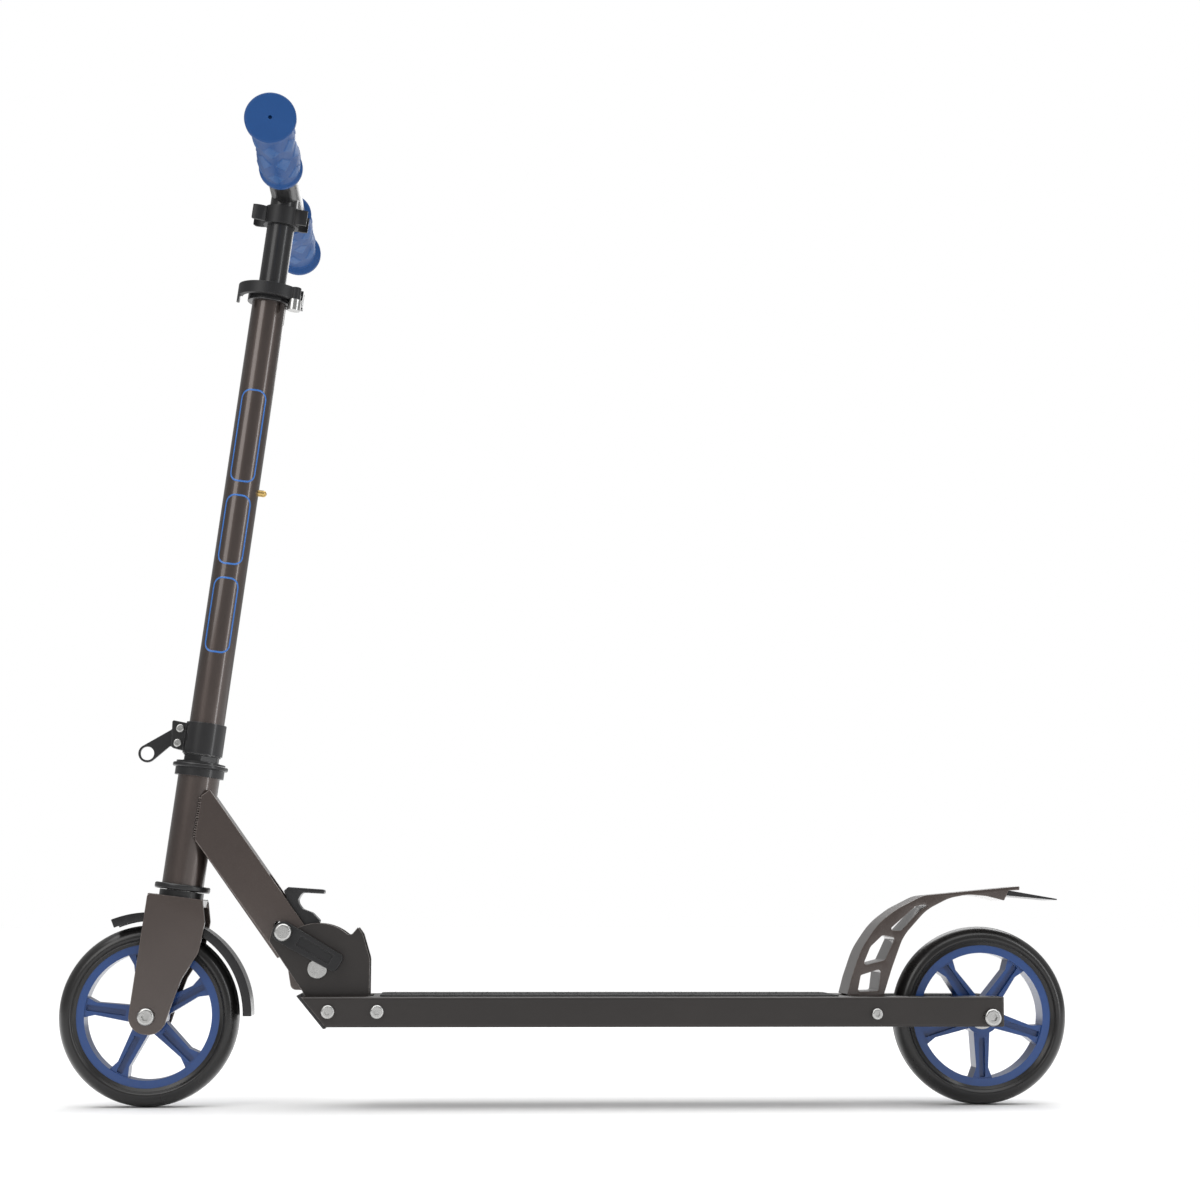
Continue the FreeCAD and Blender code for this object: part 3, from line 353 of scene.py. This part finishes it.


# CAD node: edge radius in millimetres, finish; the body is read from the record
easedNodes = {
    "deck": (0.45, "deckPaint"), "deck_front_cap": (0.25, "blackMetal"),
    "fold_plate_left": (0.45, "deckPaint"), "fold_plate_right": (0.45, "deckPaint"),
    "neck": (0.5, "bronzePaint"), "fork": (0.55, "bronzePaint"), "brake_fender": (0.45, "bronzePaint"),
    "front_fender": (0.45, "glossFender"), "release_hook": (0.6, "blackMetal"),
    "lock_lever": (0.6, "blackPlastic"), "height_lever": (0.5, "blackPlastic"),
    "height_clamp": (0.4, "blackMetal"), "stem_clamp": (0.3, "blackMetal"),
    "strap_eye": (0.35, "blackMetal"), "grip_clip": (0.35, "blackPlastic"),
    "cam_barrel": (0.4, "zincSteel"), "cross_tube": (0.3, "blackMetal"),
}
slotOf = {s["node"]: s["material_slot"] for s in frame["record"]["subparts"]}
bodyOf = {n: b for b, ns in frame["record"]["behaviour"]["bodies"].items() for n in ns}


def camelName(node):
    words = node.split("_")
    return words[0] + "".join(w.capitalize() for w in words[1:])


for node, (width, finish) in easedNodes.items():
    mesh = easedMesh(node, width)
    finishMesh(mesh)
    addPiece(camelName(node), evenlyLit(mesh), finish, bodyOf[node], (node,))
print("eased pieces made:", len(easedNodes))

# ---- tyres
tyreLook = {"inner": 57.3, "shoulder": 62.5, "outer": 72.5, "beadHalf": 12.0, "half": 15.0,
            "ringRadius": 60.4, "ringDepth": 0.35, "partingHeight": 0.18, "around": 160}


def tyreProfile():
    # (radius, side) points in millimetres from the left bead round the tread to the right bead
    look = tyreLook
    tread = []
    steps = 26
    for i in range(steps + 1):
        turn = math.radians(-90 + 180 * i / steps)
        radius = look["shoulder"] + (look["outer"] - look["partingHeight"] - look["shoulder"]) \
            * max(0.0, math.cos(turn)) ** 0.92
        tread.append((radius, look["half"] * math.sin(turn)))
    middle = steps // 2
    tread[middle] = (look["outer"], 0.0)
    tread.insert(middle, (look["outer"] - look["partingHeight"], -0.5))
    tread.insert(middle + 2, (look["outer"] - look["partingHeight"], 0.5))
    slope = (look["half"] - look["beadHalf"]) / (look["shoulder"] - look["inner"])

    def side(radius, depth=0.0):
        return look["beadHalf"] + (radius - look["inner"]) * slope - depth

    ring = look["ringRadius"]
    groove = [(look["inner"], 0.0), (ring - 0.6, 0.0), (ring - 0.25, look["ringDepth"]),
              (ring + 0.25, look["ringDepth"]), (ring + 0.6, 0.0), (look["shoulder"] - 0.4, 0.0)]
    left = [(r, -side(r, d)) for r, d in groove]
    right = [(r, side(r, d)) for r, d in reversed(groove)]
    return left + tread + right + [(look["inner"] + 0.01, 0.0)]


def spun(profile, axle, around, name):
    # turns a closed (radius, side) outline about the axle's Y line
    work = bmesh.new()
    rings = []
    for k in range(around):
        turn = 2 * math.pi * k / around
        rings.append([work.verts.new(axle + Vector((r * math.cos(turn), y, r * math.sin(turn))) * mm)
                      for r, y in profile])
    count = len(profile)
    for k in range(around):
        here, ahead = rings[k], rings[(k + 1) % around]
        for i in range(count):
            j = (i + 1) % count
            work.faces.new((here[i], here[j], ahead[j], ahead[i]))
    bmesh.ops.recalc_face_normals(work, faces=work.faces)
    return meshFrom(work, name)


for side, axle in (("front", frontAxle), ("rear", rearAxle)):
    mesh = spun(tyreProfile(), axle, tyreLook["around"], side + "Tyre")
    finishMesh(mesh, 50.0)
    addPiece(side + "Tyre", mesh, "tyreRubber", side + "_wheel", (side + "_tyre",))
print("tyres made")

# ---- grips
gripLook = {"around": 150, "stepLength": 0.9, "panelHeight": 0.55, "panelsAround": 6, "panelWide": 0.42,
            "rows": ((26.0, 13.0, 0.0), (58.0, 15.0, 0.5), (90.0, 14.0, 0.0)),
            "holeRadius": 1.6, "holeDepth": 3.2}


def smoothStep(x):
    x = max(0.0, min(1.0, x))
    return x * x * (3 - 2 * x)


def gripOutline(length):
    # (distance from the inner end, radius) of the moulded body, before the panels
    holeRadius, holeFloor = gripLook["holeRadius"], length - gripLook["holeDepth"]
    inner = [(0.0, 9.6), (0.0, 16.4), (0.5, 17.4), (1.4, 18.0), (4.6, 18.0), (5.6, 17.7), (7.0, 16.5),
             (9.0, 16.1)]
    waist = [(16, 16.25), (26, 16.9), (36, 17.3), (46, 17.2), (56, 16.4), (66, 15.6), (76, 15.7), (86, 16.5),
             (94, 16.8), (104, 16.3)]
    outer = [(length - 12, 15.6), (length - 8.6, 16.2), (length - 7.0, 18.4), (length - 6.2, 19.6),
             (length - 5.2, 20.15), (length - 1.6, 20.2), (length - 0.6, 19.9), (length, 19.0)]
    endDisc = [(length, 11.0), (length, 4.0), (length, holeRadius), (holeFloor, holeRadius * 0.8),
               (holeFloor, 0.05)]
    return inner + waist + outer + endDisc


def resampled(points, step):
    result = [points[0]]
    for (a, ra), (b, rb) in zip(points, points[1:]):
        count = max(1, round(math.hypot(b - a, rb - ra) / step))
        result += [(a + (b - a) * i / count, ra + (rb - ra) * i / count) for i in range(1, count + 1)]
    return result


def eased(values, rounds):
    for _ in range(rounds):
        values = [values[0]] + [(a[0], (a[1] + 2 * b[1] + c[1]) / 4) if 10 < b[0] < 112 else b
                                for a, b, c in zip(values, values[1:], values[2:])] + [values[-1]]
    return values


def gripMesh(side, low, high):
    look = gripLook
    length = (high - low) / mm
    points = eased(resampled(gripOutline(length), look["stepLength"]), 6)
    work = bmesh.new()
    panelHighlightLayer = work.verts.layers.float.new("panel")
    rings = []
    for along, radius in points:
        ring = []
        for k in range(look["around"]):
            turn = 2 * math.pi * k / look["around"]
            raised = 0.0
            for centre, reach, offset in look["rows"]:
                cell = (turn / (2 * math.pi) * look["panelsAround"] + offset) % 1.0 - 0.5
                inside = 1 - abs(along - centre) / reach - abs(cell) / look["panelWide"]
                raised = max(raised, smoothStep(inside * 9) if 8 < along < length - 12 else 0.0)
            r = radius + raised * look["panelHeight"]
            spot = Vector((r * math.cos(turn), 0, r * math.sin(turn)))
            outward = Vector((0, side * (low + along * mm), 0))
            place = columnFrame @ (Vector((0, 0, crossHeight)) + spot * mm + outward)
            corner = work.verts.new(place)
            # the panel's raised height, kept for the painted highlight on the grip panels
            corner[panelHighlightLayer] = raised * 0.75
            ring.append(corner)
        rings.append(ring)
    for here, ahead in zip(rings, rings[1:]):
        for k in range(look["around"]):
            j = (k + 1) % look["around"]
            work.faces.new((here[k], here[j], ahead[j], ahead[k]))
    work.faces.new(rings[-1])
    work.faces.new(rings[0])
    bmesh.ops.recalc_face_normals(work, faces=work.faces)
    return meshFrom(work, "grip")


def columnHeight(node):
    # height up the steering column of a node's centre
    low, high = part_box(node)
    return (columnFrame.inverted() @ ((low + high) / 2)).z


crossHeight = columnHeight("cross_tube")
for side, name in ((-1, "left"), (1, "right")):
    low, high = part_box("grip_" + name)
    reach = sorted((abs(low.y), abs(high.y)))
    mesh = gripMesh(side, reach[0], reach[1])
    finishMesh(mesh, 60.0)
    addPiece("grip" + name.capitalize(), mesh, "blueGrip", "handle_" + name, ("grip_" + name,))
print("grips made")

# ---- Geometry Nodes helpers


def newTree(name, inputs):
    tree = bpy.data.node_groups.new(name, "GeometryNodeTree")
    tree.interface.new_socket(name="Geometry", in_out="INPUT", socket_type="NodeSocketGeometry")
    for label, kind, value in inputs:
        socket = tree.interface.new_socket(name=label, in_out="INPUT", socket_type=kind)
        if value is not None:
            socket.default_value = value
    tree.interface.new_socket(name="Geometry", in_out="OUTPUT", socket_type="NodeSocketGeometry")
    return tree, tree.nodes.new("NodeGroupInput"), tree.nodes.new("NodeGroupOutput")


def addNode(tree, kind, **inputs):
    node = tree.nodes.new(kind)
    for label, value in inputs.items():
        socket = node.inputs[label.replace("_", " ")]
        if isinstance(value, bpy.types.NodeSocket):
            tree.links.new(value, socket)
        else:
            socket.default_value = value
    return node


def endTree(tree, geometry, source, sink):
    # the parts of every tree that come last: real geometry, smooth, with its material
    realized = addNode(tree, "GeometryNodeRealizeInstances", Geometry=geometry)
    smooth = addNode(tree, "GeometryNodeSetShadeSmooth", Geometry=realized.outputs[0])
    painted = addNode(tree, "GeometryNodeSetMaterial", Geometry=smooth.outputs[0],
                      Material=source.outputs["Material"])
    tree.links.new(painted.outputs[0], sink.inputs[0])


def runTree(tree, mesh, values, name):
    # runs a tree on a mesh and gives back the plain result
    holder = bpy.data.objects.new(name + "Source", mesh)
    bpy.context.scene.collection.objects.link(holder)
    modifier = holder.modifiers.new("nodes", "NODES")
    modifier.node_group = tree
    sockets = {s.name: s.identifier for s in tree.interface.items_tree if s.in_out == "INPUT"}
    for label, value in values.items():
        modifier[sockets[label]] = value
    graph = bpy.context.evaluated_depsgraph_get()
    made = bpy.data.meshes.new_from_object(holder.evaluated_get(graph))
    bpy.data.objects.remove(holder)
    made.name = name
    return made


def joined(meshes, name):
    work = bmesh.new()
    for mesh in meshes:
        work.from_mesh(mesh)
    return meshFrom(work, name)


# ---- weld bead where the neck meets the head tube
weldLook = {"spacing": 0.0019, "width": 0.0021, "height": 0.55, "seed": 7, "jitter": 0.28, "ahead": 0.5,
            "sideOut": 17.6}


def weldTree():
    tree, source, sink = newTree("weldBead", [
        ("Spacing", "NodeSocketFloat", 0.002), ("Ripple", "NodeSocketFloat", 0.002),
        ("Flatness", "NodeSocketFloat", 0.5), ("Jitter", "NodeSocketFloat", 0.2),
        ("Seed", "NodeSocketInt", 1), ("Material", "NodeSocketMaterial", None)])
    curve = addNode(tree, "GeometryNodeMeshToCurve", Mesh=source.outputs["Geometry"])
    beads = tree.nodes.new("GeometryNodeCurveToPoints")
    beads.mode = "LENGTH"
    tree.links.new(curve.outputs[0], beads.inputs["Curve"])
    tree.links.new(source.outputs["Spacing"], beads.inputs["Length"])
    ball = addNode(tree, "GeometryNodeMeshIcoSphere", Radius=source.outputs["Ripple"], Subdivisions=3)
    size = tree.nodes.new("FunctionNodeRandomValue")
    size.data_type = "FLOAT"
    lowest = tree.nodes.new("ShaderNodeMath")
    lowest.operation = "SUBTRACT"
    lowest.inputs[0].default_value = 1.0
    tree.links.new(source.outputs["Jitter"], lowest.inputs[1])
    tree.links.new(lowest.outputs[0], size.inputs[2])
    size.inputs[3].default_value = 1.05
    tree.links.new(source.outputs["Seed"], size.inputs["Seed"])
    scale = tree.nodes.new("ShaderNodeCombineXYZ")
    tree.links.new(size.outputs[1], scale.inputs[0])
    tree.links.new(size.outputs[1], scale.inputs[1])
    flat = tree.nodes.new("ShaderNodeMath")
    flat.operation = "MULTIPLY"
    tree.links.new(size.outputs[1], flat.inputs[0])
    tree.links.new(source.outputs["Flatness"], flat.inputs[1])
    tree.links.new(flat.outputs[0], scale.inputs[2])
    placed = addNode(tree, "GeometryNodeInstanceOnPoints", Points=beads.outputs[0], Instance=ball.outputs[0],
                     Rotation=beads.outputs["Rotation"], Scale=scale.outputs[0])
    endTree(tree, placed.outputs[0], source, sink)
    return tree


def weldSpan():
    # how far back the neck's side edges stand, and the heights they run between
    back = columnFrame.inverted()
    corners = [back @ v.co for v in frame["nodes"]["neck"].data.vertices]
    nearest = min(c.x for c in corners if abs(c.y) > 18 * mm)
    heights = [c.z for c in corners if c.x < nearest + 1.5 * mm and abs(c.y) > 18 * mm]
    return nearest, min(heights) + 2 * mm, max(heights) - 2 * mm


def lineMesh(points, name):
    mesh = bpy.data.meshes.new(name)
    mesh.from_pydata([tuple(p) for p in points], [(i, i + 1) for i in range(len(points) - 1)], [])
    return mesh


weldBack, weldLow, weldHigh = weldSpan()
print("weld runs from", round(weldLow, 4), "to", round(weldHigh, 4), "at", round(weldBack, 4))
tree = weldTree()
beads = []
for side in (-1, 1):
    ends = [columnFrame @ Vector((weldBack - weldLook["ahead"] * mm, side * weldLook["sideOut"] * mm, s))
            for s in (weldLow, weldHigh)]
    steps = [ends[0].lerp(ends[1], i / 12) for i in range(13)]
    beads.append(runTree(tree, lineMesh(steps, "weldLine"), {
        "Spacing": weldLook["spacing"], "Ripple": weldLook["width"], "Flatness": weldLook["height"],
        "Jitter": weldLook["jitter"], "Seed": weldLook["seed"] + side,
        "Material": materials["bronzePaint"]}, "weldBead"))
addPiece("weldBead", joined(beads, "weldBead"), "bronzePaint", "neck")
print("weld bead made")

# ---- plain outlined bars on the stem's sides
graphicLook = {"strokeRadius": 0.95, "sunk": 0.60, "wide": 21.0, "fillet": 7.5,
               "bars": ((330.0, 62.0), (402.0, 58.0), (482.0, 78.0)), "tubeRadius": 14.3}


def graphicTree():
    tree, source, sink = newTree("outlinedBar", [
        ("Length", "NodeSocketFloat", 0.06), ("Width", "NodeSocketFloat", 0.02),
        ("Fillet", "NodeSocketFloat", 0.006), ("Stroke", "NodeSocketFloat", 0.0008),
        ("Tube Radius", "NodeSocketFloat", 0.0143), ("Height", "NodeSocketFloat", 0.4),
        ("Material", "NodeSocketMaterial", None)])
    outline = addNode(tree, "GeometryNodeCurvePrimitiveQuadrilateral", Width=source.outputs["Width"],
                      Height=source.outputs["Length"])
    rounded = tree.nodes.new("GeometryNodeFilletCurve")
    rounded.mode = "POLY"
    tree.links.new(outline.outputs[0], rounded.inputs["Curve"])
    rounded.inputs["Count"].default_value = 12
    tree.links.new(source.outputs["Fillet"], rounded.inputs["Radius"])
    dense = tree.nodes.new("GeometryNodeResampleCurve")
    dense.mode = "LENGTH"
    tree.links.new(rounded.outputs[0], dense.inputs["Curve"])
    dense.inputs["Length"].default_value = 0.0012
    # wraps the flat outline round the tube: X becomes an angle, Y the height
    here = tree.nodes.new("GeometryNodeInputPosition")
    split = tree.nodes.new("ShaderNodeSeparateXYZ")
    tree.links.new(here.outputs[0], split.inputs[0])
    angle = math2(tree, "DIVIDE", split.outputs["X"], source.outputs["Tube Radius"])
    ahead = math2(tree, "MULTIPLY", math2(tree, "SINE", angle), source.outputs["Tube Radius"])
    aside = math2(tree, "MULTIPLY", math2(tree, "COSINE", angle), source.outputs["Tube Radius"])
    aside = math2(tree, "MULTIPLY", aside, -1.0)
    height = math2(tree, "ADD", split.outputs["Y"], source.outputs["Height"])
    spot = tree.nodes.new("ShaderNodeCombineXYZ")
    for index, value in enumerate((ahead, aside, height)):
        tree.links.new(value, spot.inputs[index])
    wrapped = addNode(tree, "GeometryNodeSetPosition", Geometry=dense.outputs[0], Position=spot.outputs[0])
    roundSection = addNode(tree, "GeometryNodeCurvePrimitiveCircle", Resolution=10,
                           Radius=source.outputs["Stroke"])
    stroke = addNode(tree, "GeometryNodeCurveToMesh", Curve=wrapped.outputs[0],
                     Profile_Curve=roundSection.outputs[0])
    endTree(tree, stroke.outputs[0], source, sink)
    return tree


tree = graphicTree()
bars = []
for height, length in graphicLook["bars"]:
    bar = runTree(tree, lineMesh([(0, 0, 0), (0, 0, mm)], "barSeed"), {
        "Length": length * mm, "Width": graphicLook["wide"] * mm, "Fillet": graphicLook["fillet"] * mm,
        "Stroke": graphicLook["strokeRadius"] * mm, "Height": height * mm,
        "Tube Radius": (graphicLook["tubeRadius"] - graphicLook["sunk"]) * mm,
        "Material": materials["blueGraphic"]}, "outlinedBar")
    bar.transform(columnFrame)
    bars.append(bar)
addPiece("stemGraphic", joined(bars, "stemGraphic"), "blueGraphic", "steering")
print("stem graphic made")

# ---- grit on the deck's sheet
gritLook = {"density": 42000.0, "grain": 0.00042, "seed": 11}


def gritTree():
    tree, source, sink = newTree("gritGrains", [
        ("Density", "NodeSocketFloat", 40000.0), ("Grain", "NodeSocketFloat", 0.0004),
        ("Seed", "NodeSocketInt", 1), ("Material", "NodeSocketMaterial", None)])
    points = addNode(tree, "GeometryNodeDistributePointsOnFaces", Mesh=source.outputs["Geometry"],
                     Density=source.outputs["Density"], Seed=source.outputs["Seed"])
    stone = addNode(tree, "GeometryNodeMeshIcoSphere", Radius=source.outputs["Grain"], Subdivisions=1)
    turn = tree.nodes.new("FunctionNodeRandomValue")
    turn.data_type = "FLOAT_VECTOR"
    turn.inputs[1].default_value = (6.28, 6.28, 6.28)
    size = tree.nodes.new("FunctionNodeRandomValue")
    size.data_type = "FLOAT"
    size.inputs[2].default_value = 0.55
    size.inputs[3].default_value = 1.0
    placed = addNode(tree, "GeometryNodeInstanceOnPoints", Points=points.outputs[0],
                     Instance=stone.outputs[0], Rotation=turn.outputs[0], Scale=size.outputs[1])
    endTree(tree, placed.outputs[0], source, sink)
    return tree


tapeLow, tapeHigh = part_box("grip_tape")
inset = 3 * mm
corners = [(tapeLow.x + inset, tapeLow.y + inset), (tapeHigh.x - inset, tapeLow.y + inset),
           (tapeHigh.x - inset, tapeHigh.y - inset), (tapeLow.x + inset, tapeHigh.y - inset)]
sheetTop = bpy.data.meshes.new("sheetTop")
sheetTop.from_pydata([(x, y, tapeHigh.z) for x, y in corners], [], [(0, 1, 2, 3)])
grit = runTree(gritTree(), sheetTop, {"Density": gritLook["density"],
                                      "Grain": gritLook["grain"], "Seed": gritLook["seed"],
                                      "Material": materials["gritSheet"]}, "gritGrains")
addPiece("gritGrains", grit, "gritSheet", "deck")
print("grit made:", len(grit.polygons), "faces")

# ---- finishes on the CAD nodes that stay
carried = {"bronze_paint": "bronzePaint", "deck_paint": "deckPaint", "black_metal": "blackMetal",
           "steel": "zincSteel", "chrome": "chromeTube", "brass": "brassPin", "blue_rim": "blueRim",
           "tyre": "tyreRubber", "blue_grip": "blueGrip", "black_plastic": "blackPlastic",
           "grip_tape": "gritSheet"}
for node, thing in frame["nodes"].items():
    thing.data.materials.clear()
    thing.data.materials.append(materials[carried[slotOf[node]]])
print("carried nodes finished:", len(frame["nodes"]))

# ---- floor, light and camera
stageLook = {"floor": (0.92, 0.92, 0.92), "size": 80.0, "seen": 1.0, "fill": 0.33}


def makeStage():
    half = stageLook["size"] / 2
    mesh = bpy.data.meshes.new("studioFloor")
    corners = [(-half, -half, 0), (half, -half, 0), (half, half, 0), (-half, half, 0)]
    mesh.from_pydata(corners, [], [(0, 1, 2, 3)])
    floor = bpy.data.objects.new("studioFloor", mesh)
    bpy.context.scene.collection.objects.link(floor)
    material = bpy.data.materials.new("paleFloor")
    material.use_nodes = True
    shader = material.node_tree.nodes["Principled BSDF"]
    shader.inputs["Base Color"].default_value = (*stageLook["floor"], 1.0)
    shader.inputs["Roughness"].default_value = 0.9
    shader.inputs["Specular IOR Level"].default_value = 0.1
    floor.data.materials.append(material)


# name: place, point aimed at, size, power, colour
lights = {
    "keySoftbox": ((-1.5, -1.7, 1.5), (-0.2, 0.0, 0.35), (1.1, 1.5), 15.0, (1.0, 0.985, 0.97)),
    "sideStrip": ((1.7, -1.2, 0.9), (-0.1, 0.0, 0.35), (0.35, 1.8), 11.0, (0.98, 0.99, 1.0)),
    "backPanel": ((0.6, 2.0, 1.6), (0.0, 0.0, 0.4), (1.6, 1.2), 14.0, (1.0, 1.0, 1.0)),
}
overhead = {"strength": 2.5, "softness": 75.0}  # a broad light straight down, that also keeps the floor pale


def aimed(place, target, roll=0.0):
    ahead = (Vector(target) - Vector(place)).normalized()
    right = ahead.cross(Vector((0, 0, 1))).normalized()
    up = right.cross(ahead)
    turned = right * math.cos(roll) + up * math.sin(roll)
    risen = up * math.cos(roll) - right * math.sin(roll)
    basis = Matrix((turned, risen, -ahead)).transposed().to_4x4()
    return Matrix.Translation(Vector(place)) @ basis


def makeLights():
    for name, (place, target, size, power, colour) in lights.items():
        data = bpy.data.lights.new(name, "AREA")
        data.shape = "RECTANGLE"
        data.size, data.size_y = size
        data.energy = power
        data.color = colour
        lamp = bpy.data.objects.new(name, data)
        lamp.matrix_world = aimed(place, target)
        bpy.context.scene.collection.objects.link(lamp)
    data = bpy.data.lights.new("overhead", "SUN")
    data.energy = overhead["strength"]
    data.angle = math.radians(overhead["softness"])
    bpy.context.scene.collection.objects.link(bpy.data.objects.new("overhead", data))


def makeWorld():
    world = bpy.data.worlds.new("studioWorld")
    world.use_nodes = True
    bpy.context.scene.world = world
    tree = world.node_tree
    background = tree.nodes["Background"]
    background.inputs["Color"].default_value = (1.0, 1.0, 1.0, 1.0)
    seen = tree.nodes.new("ShaderNodeLightPath").outputs["Is Camera Ray"]
    strength = math2(tree, "MULTIPLY_ADD", seen, stageLook["seen"] - stageLook["fill"])
    strength.node.inputs[2].default_value = stageLook["fill"]
    tree.links.new(strength, background.inputs["Strength"])


cameraLook = {"place": (-0.10677, -1.950, 0.14989), "pitch": 7.760, "yaw": 3.862, "roll": 0.107,
              "lens": 70.45}


def makeCamera():
    pitch, yaw = math.radians(cameraLook["pitch"]), math.radians(cameraLook["yaw"])
    ahead = Vector((math.sin(yaw) * math.cos(pitch), math.cos(yaw) * math.cos(pitch), math.sin(pitch)))
    place = Vector(cameraLook["place"])
    data = bpy.data.cameras.new("camera")
    data.sensor_width = 36.0
    data.lens = cameraLook["lens"]
    data.clip_end = 50.0
    eye = bpy.data.objects.new("camera", data)
    eye.matrix_world = aimed(place, place + ahead, math.radians(cameraLook["roll"]))
    bpy.context.scene.collection.objects.link(eye)
    bpy.context.scene.camera = eye


makeStage()
makeLights()
makeWorld()
makeCamera()
bpy.context.scene.view_settings.view_transform = "Standard"
print("stage, lights and camera made")
